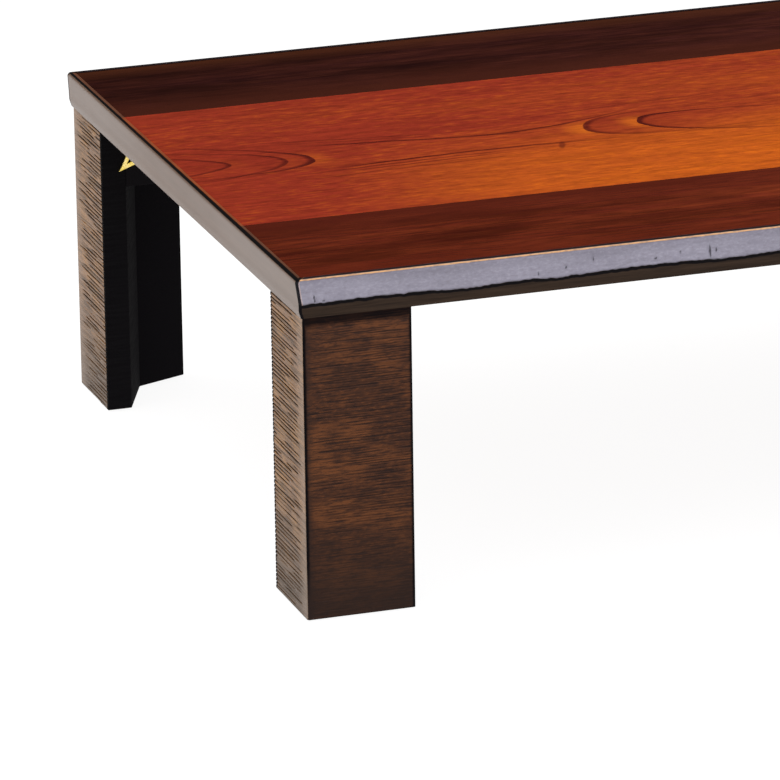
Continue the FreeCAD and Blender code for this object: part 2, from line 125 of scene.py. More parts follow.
def start_group(name, places, values, results):
    # A node group with its inputs, places first and then plain values, and its results
    group = bpy.data.node_groups.new(name, "ShaderNodeTree")
    for labels, way, kind in (
            (places, "INPUT", "Vector"), (values, "INPUT", "Float"), (results, "OUTPUT", "Float")):
        for label in labels:
            group.interface.new_socket(label, in_out=way, socket_type="NodeSocket" + kind)
    return group, group.nodes.new("NodeGroupInput").outputs, group.nodes.new("NodeGroupOutput").inputs


def place_group(group, inputs):
    return add(home(inputs.values()), "Group", inputs, node_tree=group).outputs


def make_long_grain():
    # Streaks and pores that run along X, for any wood here
    group, given, result = start_group("long_grain", ["Place"], ["Length", "Width"], ["Streaks", "Pores"])
    sizes = []
    for share in (1.0, 0.22, 0.07):
        across = times(given["Width"], share)
        sizes.append(joined(times(given["Length"], share), across, across))
    broad = cloud(given["Place"], sizes[0], 4.0)
    fine = cloud(given["Place"], sizes[1], 2.0)
    streaks = reckon("MULTIPLY_ADD", fine, 0.4, times(broad, 0.6))
    connect(streaks, result["Streaks"])
    connect(rise(cloud(given["Place"], sizes[2], 1.0), 0.60, 0.72), result["Pores"])
    return group


long_grain = make_long_grain()


def grained(place, length, width):
    return place_group(long_grain, {"Place": place, "Length": length, "Width": width})


def finish_surface(material, colour, roughness, relief=None, others=None, sunk=False):
    # Colour and roughness of a finish, its relief (source, strength and depth in metres), and other values
    tree = material.node_tree
    values = {"Base Color": colour, "Roughness": roughness, **(others or {})}
    if relief:
        height, strength, depth = relief
        bump = add(tree, "Bump", {"Height": height, "Strength": strength, "Distance": depth}, invert=sunk)
        values["Normal"] = bump.outputs[0]
    for name, value in values.items():
        connect(value, tree.nodes["Principled BSDF"].inputs[name])
    return material


def softwood(name, turn):
    material, place = start_material(name, turn)
    grain = grained(place, 260.0, 7.0)
    bands = rise(grain["Streaks"], 0.35, 0.65)
    colour = mixed(bands, (0.60, 0.43, 0.25), (0.42, 0.25, 0.12))
    return finish_surface(material, colour, 0.75, (grain["Streaks"], 0.15, 0.0004))


def finish_nodes(names, material):
    for name in names:
        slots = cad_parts[name].data.materials
        slots.clear()
        slots.append(material)


lengthwise = ["front_core_rail", "rear_core_rail", "hinge_mounting_blocks"]
crosswise = ["left_core_rail", "right_core_rail", "middle_core_rails"]
finish_nodes(lengthwise, softwood("softwood_lengthwise", 0.0))
finish_nodes(crosswise, softwood("softwood_crosswise", math.pi / 2))


# Top board and bottom board: thin lauan plywood glued over and under the frame.
# The bottom board shows from below, rubbed with a thin brown stain that lets its broad figure through.

def stained_plywood():
    material, place = start_material("stained_plywood")
    grain = grained(place, 130.0, 4.5)
    flame = cloud(place, (900.0, 70.0, 70.0), 1.0)
    figure = reckon("PINGPONG", times(flame, 12.0), 1.0)
    tone = reckon("MULTIPLY_ADD", grain["Streaks"], 0.78, times(figure, 0.22))
    colour = mixed(rise(tone, 0.25, 0.75), (0.22, 0.105, 0.052), (0.12, 0.052, 0.026))
    colour = mixed(times(grain["Pores"], 0.5), colour, (0.05, 0.022, 0.012))
    rough = rise(tone, 0.2, 0.8, 0.5, 0.7)
    return finish_surface(material, colour, rough, (tone, 0.2, 0.0003))


finish_nodes(["top_board", "bottom_board"], stained_plywood())


# Centre band: flat-sawn veneer in a warm red-brown, whose slim growth rings point at each other from both
# ends. It is one millimetre thick, glued to the top board and finished in clear satin lacquer.

CENTRE_RED = (0.285, 0.0315, 0.0145)
CENTRE_ORANGE = (0.640, 0.1320, 0.0100)
CENTRE_LINE = (0.085, 0.0095, 0.0070)
CENTRE_HALO = (0.640, 0.1400, 0.0140)
CENTRE_HEART = (0.255, 0.0270, 0.0135)
LACQUER_ROUGHNESS = 0.14
# Growth rings that close: the apex along and across, the way it points, spread, bend, lean, thickness,
# darkness, the glow outside the apex, and how far behind the apex the ring fades
RINGS = (
    (-546.0, 1.0, 1.0, 120.0, 600.0, 0.10, 4.8, 0.80, 0.15, 110.0),
    (-492.0, -6.0, 1.0, 143.0, 600.0, 0.08, 4.8, 0.80, 0.15, 100.0),
    (-466.0, -9.0, 1.0, 145.0, 600.0, 0.20, 6.4, 0.95, 0.28, 110.0),
    (-194.0, -4.0, -1.0, 60.0, 80.0, 0.00, 6.4, 0.95, 0.80, 70.0),
    (-137.0, -2.0, -1.0, 45.0, 40.0, -0.20, 6.4, 0.95, 0.75, 120.0),
    (60.0, -42.0, -1.0, 36.0, 60.0, 0.02, 4.4, 0.80, 0.45, 110.0),
    (245.0, -38.0, -1.0, 26.0, 60.0, 0.03, 4.4, 0.75, 0.45, 140.0),
)
# Growth rings that run on between them: start along and across, slope, bend, length, thickness and darkness
STRANDS = (
    (-480.0, 38.0, -0.195, 0.00020, 270.0, 5.6, 0.85),
    (-335.0, 11.0, -0.126, 0.00146, 250.0, 5.2, 0.80),
    (-525.0, 62.0, -0.200, 0.00020, 260.0, 3.6, 0.55),
    (-510.0, 53.0, -0.200, 0.00020, 220.0, 3.4, 0.45),
    (-478.0, -48.0, 0.100, -0.00030, 360.0, 5.6, 0.85),
    (-500.0, -58.0, 0.095, -0.00024, 300.0, 3.6, 0.65),
    (-470.0, -64.0, 0.085, -0.00020, 230.0, 3.6, 0.60),
    (-510.0, -76.0, 0.080, -0.00016, 260.0, 3.6, 0.50),
    (-260.0, 46.0, 0.160, -0.00025, 330.0, 3.2, 0.45),
    (-150.0, -44.0, 0.030, -0.00005, 380.0, 3.2, 0.45),
    (90.0, 52.0, 0.050, -0.00004, 420.0, 3.2, 0.45),
)
# A pin knot: its place, how far it leans, and its radii
KNOT = (-232.0, -50.0, 325.0)
KNOT_LEAN = -0.33
KNOT_RADII = (4.2, 14.0, 50.0)
# How far the growth rings sway, along and across
SWAY = (14.0, 9.0, 0.0)


def apart(place):
    # X, Y and Z of a place
    return add(place.id_data, "SeparateXYZ", {"Vector": place}).outputs


def shaded(colour, level):
    # A colour made lighter or darker by a level about 1
    return mixed(1.0, colour, joined(level, level, level), "MULTIPLY")


def make_ring_line():
    # One growth ring of flat-sawn wood: a slim loop that opens from its apex along X, and the glow outside it
    values = ["Facing", "Spread", "Bend", "Lean", "Weight", "End"]
    group, given, result = start_group("ring_line", ["Place", "Apex"], values, ["Line", "Halo", "Heart"])
    spot = apart(vectors("SUBTRACT", given["Place"], given["Apex"])[0])
    behind = times(spot["X"], times(given["Facing"], -1.0))
    off = reckon("SUBTRACT", spot["Y"], times(given["Lean"], behind))
    length = reckon("ADD", reckon("MAXIMUM", behind, 0.0), given["Bend"])
    width = times(given["Spread"], given["Spread"])
    opened = reckon("DIVIDE", times(width, behind), length)
    level = reckon("SUBTRACT", times(off, off), opened)
    run = reckon("DIVIDE", times(width, given["Bend"]), times(length, length))
    steep = times(off, 2.0)
    squares = reckon("ADD", times(run, run), times(steep, steep))
    outside = reckon("DIVIDE", level, reckon("SQRT", squares))
    weight = times(given["Weight"], rise(behind, 0.0, 60.0, 1.55, 0.75))
    inner = rise(outside, times(weight, -1.0), times(weight, -0.3))
    line = times(inner, rise(outside, 0.0, 0.9, 1.0, 0.0))
    fade_from = reckon("SUBTRACT", given["End"], 120.0)
    fades = rise(behind, fade_from, reckon("ADD", given["End"], 40.0), 1.0, 0.25)
    connect(times(line, fades), result["Line"])
    by_apex = rise(reckon("ABSOLUTE", off), 5.0, 30.0, 1.0, 0.0)
    glow = times(rise(outside, -1.0, 1.0), rise(outside, 1.0, 26.0, 1.0, 0.0))
    connect(times(glow, by_apex), result["Halo"])
    heart = times(rise(outside, 0.0, -4.0), rise(behind, 10.0, 130.0, 1.0, 0.0))
    connect(heart, result["Heart"])
    return group


def make_strand_line():
    # One growth ring that runs on along X in a slight bend
    values = ["Slope", "Bend", "Length", "Weight"]
    group, given, result = start_group("strand_line", ["Place", "Start"], values, ["Line"])
    spot = apart(vectors("SUBTRACT", given["Place"], given["Start"])[0])
    slope = reckon("MULTIPLY_ADD", given["Bend"], spot["X"], given["Slope"])
    off = reckon("SUBTRACT", spot["Y"], times(slope, spot["X"]))
    half = times(given["Weight"], 0.5)
    line = rise(reckon("ABSOLUTE", off), times(half, 0.4), half, 1.0, 0.0)
    starts = rise(spot["X"], 0.0, 60.0)
    ends = rise(spot["X"], times(given["Length"], 0.5), given["Length"], 1.0, 0.0)
    connect(times(line, times(starts, ends)), result["Line"])
    return group


ring_line = make_ring_line()
strand_line = make_strand_line()


def satin_lacquer(material, colour, grain):
    # Clear lacquer over veneer, whose pores still show through it
    rough = rise(grain["Streaks"], 0.2, 0.8, 0.45, 0.60)
    coat = {"Specular IOR Level": 0.0, "Coat Weight": 0.5, "Coat Roughness": LACQUER_ROUGHNESS}
    return finish_surface(material, colour, rough, (grain["Pores"], 0.02, 0.0002), coat, sunk=True)


def centre_veneer():
    material, place = start_material("centre_veneer")
    spot = apart(place)
    grain = grained(place, 100.0, 9.0)
    flecks = cloud(place, (16.0, 4.0, 4.0), 4.0)
    # The veneer turns from red to orange towards the front and the right: partly its own tone, partly a
    # painted falloff of the light, which is brighter there
    frontwards = rise(spot["Y"], 30.0, -100.0, 0.0, 0.56)
    drift = cloud(place, (260.0, 70.0, 70.0), 2.0)
    orange = times(rise(spot["X"], -540.0, -250.0, 0.10, 1.0), frontwards)
    for more in (
            rise(spot["X"], -620.0, 150.0, -0.06, 0.16), rise(drift, 0.3, 0.7, -0.08, 0.08),
            rise(flecks, 0.48, 0.74, 0.0, 0.30)):
        orange = reckon("ADD", orange, more)
    colour = mixed(orange, CENTRE_RED, CENTRE_ORANGE)
    sway = add(place.id_data, "TexNoise", {
        "Vector": stretched(place, (90.0, 45.0, 45.0)), "Scale": 1.0, "Detail": 2.0})
    swayed = vectors("MULTIPLY_ADD", sway.outputs["Color"], SWAY, place)[0]
    middle_x, middle_y = SWAY[0] / 2, SWAY[1] / 2
    lines = []
    for along, across, facing, spread, bend, lean, weight, darkness, glow, end in RINGS:
        ring = place_group(ring_line, {
            "Place": swayed, "Apex": (along + middle_x, across + middle_y, 0.0), "Facing": facing,
            "Spread": spread, "Bend": bend, "Lean": lean, "Weight": weight, "End": end})
        colour = mixed(times(ring["Halo"], glow), colour, CENTRE_HALO)
        colour = mixed(times(ring["Heart"], 0.5), colour, CENTRE_HEART)
        lines.append(times(ring["Line"], darkness))
    for along, across, slope, bend, length, weight, darkness in STRANDS:
        strand = place_group(strand_line, {
            "Place": swayed, "Start": (along + middle_x, across + middle_y, 0.0), "Slope": slope,
            "Bend": bend, "Length": length, "Weight": weight})
        lines.append(times(strand["Line"], darkness))
    for line in lines:
        colour = mixed(line, colour, CENTRE_LINE)
    offset = apart(vectors("SUBTRACT", place, KNOT)[0])
    leaning = reckon("MULTIPLY_ADD", offset["Y"], KNOT_LEAN, offset["X"])
    upright = joined(leaning, offset["Y"], 0.0)
    from_knot = vectors("LENGTH", stretched(upright, KNOT_RADII))["Value"]
    colour = mixed(rise(from_knot, 0.4, 1.1, 0.6, 0.0), colour, CENTRE_LINE)
    colour = shaded(colour, rise(grain["Streaks"], 0.34, 0.66, 0.82, 1.14))
    colour = shaded(colour, rise(flecks, 0.30, 0.50, 0.78, 1.0))
    colour = mixed(times(grain["Pores"], 0.35), colour, CENTRE_LINE)
    return satin_lacquer(material, colour, grain)


finish_nodes(["centre_veneer"], centre_veneer())


# Front and rear bands: dark stained veneer on both sides of the centre band, as thick and lacquered like it.
# The two come from different leaves: the front one is redder, the rear one nearly black. The front one is
# also lighter as a painted falloff of the light towards the back.

BAND_INNER_Y, BAND_OUTER_Y = 193.0, 365.0
PORE_DARK = (0.010, 0.0040, 0.0035)
# Of each band: its side, the two tones of its streaks, those by its inner and outer edge, and its dark rim
BANDS = {
    "front": (-1.0, (0.085, 0.0115, 0.0060), (0.150, 0.0250, 0.0085),
              (0.085, 0.0125, 0.0065), (0.115, 0.0170, 0.0070), 0.0),
    "rear": (1.0, (0.022, 0.0050, 0.0050), (0.048, 0.0115, 0.0070),
             (0.066, 0.0150, 0.0080), (0.075, 0.0210, 0.0080), 3.5),
}


def dark_veneer(name, side, low, high, near_tone, far_tone, rim):
    material, place = start_material(name)
    spot = apart(place)
    grain = grained(place, 200.0, 12.0)
    flecks = cloud(place, (34.0, 4.0, 4.0), 3.0)
    drift = cloud(place, (150.0, 40.0, 40.0), 2.0)
    colour = mixed(rise(grain["Streaks"], 0.30, 0.70), low, high)
    # Lighter towards the right: a painted falloff of the light, which is brighter there
    colour = shaded(colour, rise(spot["X"], -600.0, 100.0, 0.78, 1.24))
    colour = shaded(colour, rise(drift, 0.3, 0.7, 0.70, 1.28))
    colour = shaded(colour, rise(flecks, 0.35, 0.65, 0.80, 1.16))
    reach = times(spot["Y"], side)
    colour = mixed(rise(reach, BAND_INNER_Y + 80.0, BAND_INNER_Y, 0.0, 0.75), colour, near_tone)
    colour = mixed(rise(reach, BAND_OUTER_Y - 45.0, BAND_OUTER_Y, 0.0, 0.65), colour, far_tone)
    colour = mixed(times(grain["Pores"], 0.4), colour, PORE_DARK)
    rim_start = BAND_OUTER_Y - rim
    colour = mixed(rise(reach, rim_start - 0.8, rim_start + 0.4), colour, PORE_DARK)
    return satin_lacquer(material, colour, grain)


for band, tones in BANDS.items():
    finish_nodes([band + "_band_veneer"], dark_veneer(band + "_dark_veneer", *tones))


# Front and rear edge strips: solid wood lipping, hewn along its outside and mitred at the corners.
# An upper facet leans out to a wandering arris and a lower facet leans back. The upper facet is painted
# blue-grey, a painted reflection of the light.
# A tan line is painted along the top arris, and faintly on the upper facet by the ends, as a painted
# highlight.

UNDERSIDE = 289.0
FACE = 325.0
CORE_LENGTH, CORE_DEPTH = 576.0, 351.0
LIP_LENGTH, LIP_DEPTH = 593.5, 365.0
REBATE = 318.5
LONG_BOTTOM = 373.5
LONG_ARRIS = 375.0
LONG_TOP, LONG_FOOT = 370.5, 370.85
LONG_ROUND = 2.0
HEWN_LEVEL = 302.1
HEWN_WAVES = ((0.7, 310.0, 0.6), (0.5, 127.0, 2.1), (0.35, 83.0, 0.0))
HEWN_RECESS, HEWN_RECESS_LENGTH = 0.5, 173.0
STATION = 1.5
END_LENGTH = 600.0
END_ROUND = 4.0
END_STRAIGHT = FACE - END_ROUND
# Heights down the short ends, and how far they stand back there: they lean in, and are chamfered at the foot
END_LEAN = ((UNDERSIDE, 4.0), (295.5, 2.0), (303.5, 1.8), (END_STRAIGHT, 0.0))
# Nicks in the upper facet of each strip, painted black as the shade in their pits: distance along it, height,
# half width and half height
NICKS = (
    (-584.0, 307.5, 1.1, 2.8), (-583.0, 304.0, 0.9, 2.0), (-575.0, 304.5, 1.6, 1.2),
    (-371.5, 306.0, 0.8, 3.0), (-344.0, 309.5, 1.2, 1.7), (-318.0, 313.5, 0.9, 3.0),
    (-258.0, 308.5, 1.5, 1.2), (-234.0, 311.5, 1.5, 1.3), (-205.0, 309.5, 0.9, 7.5),
    (-199.0, 310.0, 0.8, 2.2), (36.0, 308.0, 1.6, 4.0), (121.0, 317.0, 2.0, 1.0),
    (243.0, 310.0, 1.5, 5.0), (352.0, 313.0, 1.7, 1.2), (467.0, 306.5, 1.8, 2.2),
    (533.0, 312.0, 1.5, 4.5),
)
NICK_DEPTH, NICK_RIM, NICK_ZONES = 0.5, 1.25, (1.05, 1.98)
# Chips along the arris: height, length, and where the noise of each strip is read
CHIPS = ((0.7, 11.0, 7.3, 0.5), (0.7, 4.3, 3.1, 2.5))
# Strokes of the adze about a mean depth: depth, length, height, and where the noise of each strip is read
HOLLOW = 0.09
STROKES = ((0.09, 37.0, 14.0, 5.0), (0.03, 9.0, 3.0, 2.0))
LOWER_STEPS, UPPER_STEPS, ROUND_STEPS = 7, 12, 6
SHARP_EDGE = math.radians(32)


def uneven(*places):
    # Smooth noise between about -1 and 1 over arrays of coordinates
    spread = np.broadcast_arrays(*[np.asarray(p, float) for p in places])
    values = [noise.noise(Vector(p)) for p in zip(*[s.ravel() for s in spread])]
    return np.array(values).reshape(spread[0].shape)


def arris_height(x, side):
    wander = sum(size * np.sin(2 * math.pi * x / length + phase) for size, length, phase in HEWN_WAVES)
    chipped = sum(size * uneven(x / length, side * shift, layer) for size, length, shift, layer in CHIPS)
    return HEWN_LEVEL + wander + chipped


def arris_reach(x):
    return LONG_ARRIS - HEWN_RECESS * (1 + np.sin(2 * math.pi * x / HEWN_RECESS_LENGTH))


def long_section(height, reach):
    # Reach from the middle and height of the strip's outline at one station, with its zone:
    # 0 bottom, 1 hewn arris, 2 foot of the top arris, 3 flat of the top, 4 inner end of the lip
    bottom = np.array((LONG_BOTTOM, UNDERSIDE))
    arris = np.array((reach, height))
    top = np.array((LONG_TOP, FACE))
    slope = (arris - top) / np.linalg.norm(arris - top)
    foot = top + slope * LONG_ROUND
    flat = top - np.array((LONG_ROUND, 0.0))
    points = [np.array(((CORE_DEPTH, UNDERSIDE), (LIP_DEPTH, UNDERSIDE)))]
    zones = [np.zeros(2)]
    for start, end, count, low in ((bottom, arris, LOWER_STEPS, 0.0), (arris, foot, UPPER_STEPS, 1.0)):
        share = np.linspace(0, 1, count)[:-1, None]
        points.append(start * (1 - share) + end * share)
        zones.append(low + share[:, 0])
    # The top arris turns smoothly from its foot into the flat
    share = np.linspace(0, 1, ROUND_STEPS)[:, None]
    points.append((1 - share) ** 2 * foot + 2 * share * (1 - share) * top + share ** 2 * flat)
    zones.append(2 + share[:, 0])
    points.append(np.array(((LIP_DEPTH, FACE), (LIP_DEPTH, REBATE), (CORE_DEPTH, REBATE))))
    zones.append(np.array((4.0, 5.0, 5.0)))
    return np.concatenate(points), np.concatenate(zones)


def end_reach(height):
    # How far out the short end stands at a height
    height = np.asarray(height, float)
    turn = np.clip((height - END_STRAIGHT) / END_ROUND, 0, 1)
    return END_LENGTH - np.interp(height, *zip(*END_LEAN)) - END_ROUND * (1 - np.sqrt(1 - turn ** 2))


def long_edge_reach(height):
    # How far out the long edge stands at a height, near the corners
    heights = (UNDERSIDE, HEWN_LEVEL, FACE - LONG_ROUND, FACE)
    reaches = (LONG_BOTTOM, LONG_ARRIS - HEWN_RECESS, LONG_FOOT, LONG_TOP - LONG_ROUND)
    return np.interp(height, heights, reaches)


def mitre(reach, core, lip, own_edge, other_core, other_lip, other_edge):
    # Where the mitre cuts a strip, at a point of its section: by way of the lip's corner to the corner edge
    inner = other_core + (reach - core) * (other_lip - other_core) / (lip - core)
    outer = other_lip + (reach - lip) * (other_edge - other_lip) / np.maximum(own_edge - lip, 0.1)
    return np.where(reach <= lip, inner, np.minimum(outer, other_edge))


def in_scene(name, data):
    made = bpy.data.objects.new(name, data)
    bpy.context.scene.collection.objects.link(made)
    return made


def skinned(name, solids, marks):
    # A mesh of closed solids, each over rings of points in millimetres, with named values at the points
    points, faces, start = [], [], 0
    for rings in solids:
        turns, count = rings.shape[:2]
        index = start + np.arange(turns * count).reshape(turns, count)
        after = np.roll(index, -1, axis=1)
        quads = np.stack((index[:-1], after[:-1], after[1:], index[1:]), axis=-1).reshape(-1, 4)
        faces += [tuple(q) for q in quads.tolist()] + [tuple(index[0].tolist()), tuple(index[-1].tolist())]
        points.append(rings.reshape(-1, 3) / 1000)
        start += turns * count
    mesh = bpy.data.meshes.new(name)
    mesh.from_pydata(np.concatenate(points).tolist(), [], faces)
    for label, values in marks.items():
        attribute = mesh.attributes.new(label, "FLOAT", "POINT")
        attribute.data.foreach_set("value", values.astype(np.float32).ravel())
    shape = bmesh.new()
    shape.from_mesh(mesh)
    bmesh.ops.recalc_face_normals(shape, faces=shape.faces)
    shape.to_mesh(mesh)
    shape.free()
    mesh.shade_smooth()
    mesh.set_sharp_from_angle(angle=SHARP_EDGE)
    return in_scene(name, mesh)


def fit_piece(piece, finish, body, node):
    # Gives a piece its finish, the body it moves with and the node it stands for
    piece.data.materials.append(finish)
    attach(piece, body)
    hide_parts(node)


def long_strip(side, name):
    count = round(2 * END_LENGTH / STATION)
    stations = np.linspace(-1, 1, count + 1)
    heights = arris_height(stations * END_LENGTH * -side, side)
    reaches = arris_reach(stations * END_LENGTH * -side)
    rings, zones, nicked, ends = [], [], [], []
    for share, height, reach in zip(stations, heights, reaches):
        section, zone = long_section(height, reach)
        out, up = section.T
        limit = mitre(
            out, CORE_DEPTH, LIP_DEPTH, long_edge_reach(up), CORE_LENGTH, LIP_LENGTH, end_reach(up))
        x = share * limit
        nick = np.zeros(len(zone))
        for spot, level, wide, tall in NICKS:
            away = np.hypot((x * -side - spot) / wide, (up - level) / tall)
            nick = np.maximum(nick, np.clip(NICK_RIM - away, 0, 1))
        nick = np.where((zone > NICK_ZONES[0]) & (zone < NICK_ZONES[1]), nick, 0.0)
        rings.append(np.stack((x, out, up), axis=-1))
        zones.append(zone)
        nicked.append(nick)
        ends.append(limit - np.abs(x))
    rings, zones, nicked, ends = map(np.array, (rings, zones, nicked, ends))
    # The strokes leave shallow hollows over both facets, deepest in their middle
    along, up = rings[..., 0] * -side, rings[..., 2]
    middle = np.clip(np.sin(math.pi * (zones % 1.0)), 0, 1) * ((zones > 0) & (zones < 2))
    hollow = HOLLOW
    for depth, length, height, shift in STROKES:
        hollow = hollow + depth * uneven(along / length, up / height, side * shift)
    rings[..., 1] -= middle * np.clip(hollow, 0, 1) + NICK_DEPTH * nicked
    rings[..., 1] *= side
    return skinned(name, [rings], {"zone": zones, "nick": nicked, "from_end": ends})


def make_drawn_line():
    # A mask that is 1 between two values, with soft and slightly ragged sides
    values = ["Value", "From", "To", "Soft", "Ragged"]
    group, given, result = start_group("drawn_line", ["Place"], values, ["Mask"])
    lumps = cloud(given["Place"], (9.0, 9.0, 3.0), 2.0)
    shift = times(reckon("SUBTRACT", lumps, 0.5), given["Ragged"])
    value = reckon("ADD", given["Value"], shift)
    sides = []
    for bound in (given["From"], given["To"]):
        low = reckon("SUBTRACT", bound, given["Soft"])
        sides.append(rise(value, low, reckon("ADD", bound, given["Soft"])))
    connect(reckon("SUBTRACT", *sides), result["Mask"])
    return group


drawn_line = make_drawn_line()


def line_mask(place, value, low, high, soft, ragged):
    inputs = {"Value": value, "From": low, "To": high, "Soft": soft, "Ragged": ragged, "Place": place}
    return place_group(drawn_line, inputs)["Mask"]


def mark(place, name):
    # A value that the mesh carries there
    return add(place.id_data, "Attribute", attribute_name=name).outputs["Fac"]


def painted(colour, coats):
    # A colour under coats, each laid on by its mask
    for mask, tone in coats:
        colour = mixed(mask, colour, tone)
    return colour


# Black for pooled lacquer, and for painted shade in nicks and saw cuts and painted dark reflection on arrises
# and corners
BLACK_LACQUER_AND_SHADE = (0.0030, 0.0024, 0.0026)
HIGHLIGHT_TAN = (0.620, 0.330, 0.1300)


def hewn_lacquer():
    material, place = start_material("hewn_lacquer")
    zone = mark(place, "zone")
    # The nicks are painted black: painted shade in their pits
    nick = rise(mark(place, "nick"), 0.15, 0.70, 0.0, 0.75)
    grain = grained(place, 120.0, 5.0)
    mottle = cloud(place, (22.0, 22.0, 5.0), 3.0)
    specks = cloud(place, (4.0, 4.0, 2.0), 3.0)
    streaks = rise(grain["Streaks"], 0.3, 0.7)
    lower_facet = mixed(streaks, (0.016, 0.0105, 0.0070), (0.036, 0.0225, 0.0140))
    upper = rise(zone, 0.99, 1.01)
    # The upper facet is painted blue-grey with light and dark specks: a painted reflection of the light over
    # its dark brown lacquer
    upper_facet_reflection = painted(mixed(mottle, (0.062, 0.054, 0.070), (0.105, 0.094, 0.118)), (
        (rise(specks, 0.50, 0.72, 0.0, 0.20), (0.190, 0.170, 0.190)),
        (rise(specks, 0.46, 0.30, 0.0, 0.22), (0.045, 0.028, 0.024)),
    ))
    end = mark(place, "from_end")
    # A tan line along the top arris, broken by specks, and a faint one on the upper facet by the ends:
    # painted highlights
    arris_highlight = line_mask(place, zone, 2.16, 2.60, 0.10, 0.22)
    end_highlight = line_mask(place, end, 2.4, 3.4, 0.25, 0.8)
    # The corner is painted black: a painted dark reflection of the rounded corner arris
    corner = line_mask(place, end, -1.0, 2.4, 0.25, 0.5)
    colour = painted(lower_facet, (
        (upper, upper_facet_reflection),
        (line_mask(place, zone, 0.77, 1.0, 0.04, 0.14), BLACK_LACQUER_AND_SHADE),
        (times(arris_highlight, rise(specks, 0.30, 0.60, 0.55, 1.0)), HIGHLIGHT_TAN),
        (line_mask(place, zone, 2.74, 3.9, 0.10, 0.10), PORE_DARK),
        (times(end_highlight, upper, 0.22), HIGHLIGHT_TAN),
        (corner, BLACK_LACQUER_AND_SHADE),
        (nick, BLACK_LACQUER_AND_SHADE),
    ))
    dull = rise(mottle, 0.3, 0.7, 0.28, 0.42)
    rough = reckon("MULTIPLY_ADD", reckon("SUBTRACT", 1.0, upper), 0.3, dull)
    unworn = reckon("SUBTRACT", 1.0, reckon("MAXIMUM", nick, corner))
    glossy = times(
        upper, rise(mottle, 0.25, 0.75, 0.86, 1.0), rise(specks, 0.30, 0.62, 0.86, 1.0),
        rise(zone, 1.62, 1.92, 1.0, 0.80), rise(zone, 2.60, 2.80, 1.0, 0.15), unworn)
    coat = {"IOR": 1.12, "Coat Weight": glossy, "Coat Roughness": 0.30}
    return finish_surface(material, colour, rough, (mottle, 0.12, 0.0006), coat)


hewn_finish = hewn_lacquer()
for side, edge in ((-1, "front"), (1, "rear")):
    strip = long_strip(side, edge + "_hewn_edge")
    fit_piece(strip, hewn_finish, "tabletop", edge + "_edge_strip")


# Left and right edge strips: the same lipping across the ends, planed smooth and chamfered at the foot.
# Grey-brown lacquer covers the face, with a black line along the top arris and down the corners, painted
# black as the dark reflection of these rounded arrises.
# Inside the black line a narrow lip takes the stain of the veneer beside it.

FLAT_MIDDLE = 594.7
# Steps of the mesh inwards from the mitre, and how many follow them up to the middle
NEAR_MITRE, INNER_STEPS = (0.0, 0.6, 1.2, 1.8, 2.4, 3.5, 5.0, 8.0, 12.0), 36
FACE_STEPS, ARRIS_STEPS = 14, 8
# The zones where the black line begins and ends, at the front and at the rear, and how far out those lie
LINE_FOOT, LINE_HEAD, LINE_HALF = (1.40, 1.53), (1.99, 1.92), 330.0


def short_section():
    # Zones: 0 bottom, 1 foot of the top arris, 2 flat of the top, 3 inner end of the lip
    rising = np.linspace(0, 1, FACE_STEPS)
    heights = UNDERSIDE + rising * (END_STRAIGHT - UNDERSIDE)
    turn = np.linspace(0, math.pi / 2, ARRIS_STEPS)[1:]
    arris = (END_LENGTH - END_ROUND + END_ROUND * np.cos(turn), END_STRAIGHT + END_ROUND * np.sin(turn))
    points = [
        np.array(((CORE_LENGTH, UNDERSIDE), (LIP_LENGTH, UNDERSIDE))),
        np.stack((end_reach(heights), heights), axis=-1),
        np.stack(arris, axis=-1),
        np.array(((FLAT_MIDDLE, FACE), (LIP_LENGTH, FACE), (LIP_LENGTH, REBATE), (CORE_LENGTH, REBATE))),
    ]
    zones = [np.zeros(2), rising, 1 + turn / (math.pi / 2), np.array((2.5, 3.0, 5.0, 5.0))]
    return np.concatenate(points), np.concatenate(zones)


def short_strip(side, name):
    section, zone = short_section()
    out, up = section.T
    limit = mitre(out, CORE_LENGTH, LIP_LENGTH, end_reach(up), CORE_DEPTH, LIP_DEPTH, long_edge_reach(up))
    near = np.array(NEAR_MITRE) / LONG_ARRIS
    half = np.concatenate((1 - near, np.linspace(1 - near[-1], 0, INNER_STEPS)[1:]))
    stations = np.concatenate((half, -half[-2::-1]))
    rings = np.array([np.stack((out, share * limit, up), axis=-1) for share in stations])
    ends = np.array([limit * (1 - abs(share)) for share in stations])
    zones = np.broadcast_to(zone, ends.shape).copy()
    rings[..., 0] *= side
    return skinned(name, [rings], {"zone": zones, "from_end": ends})


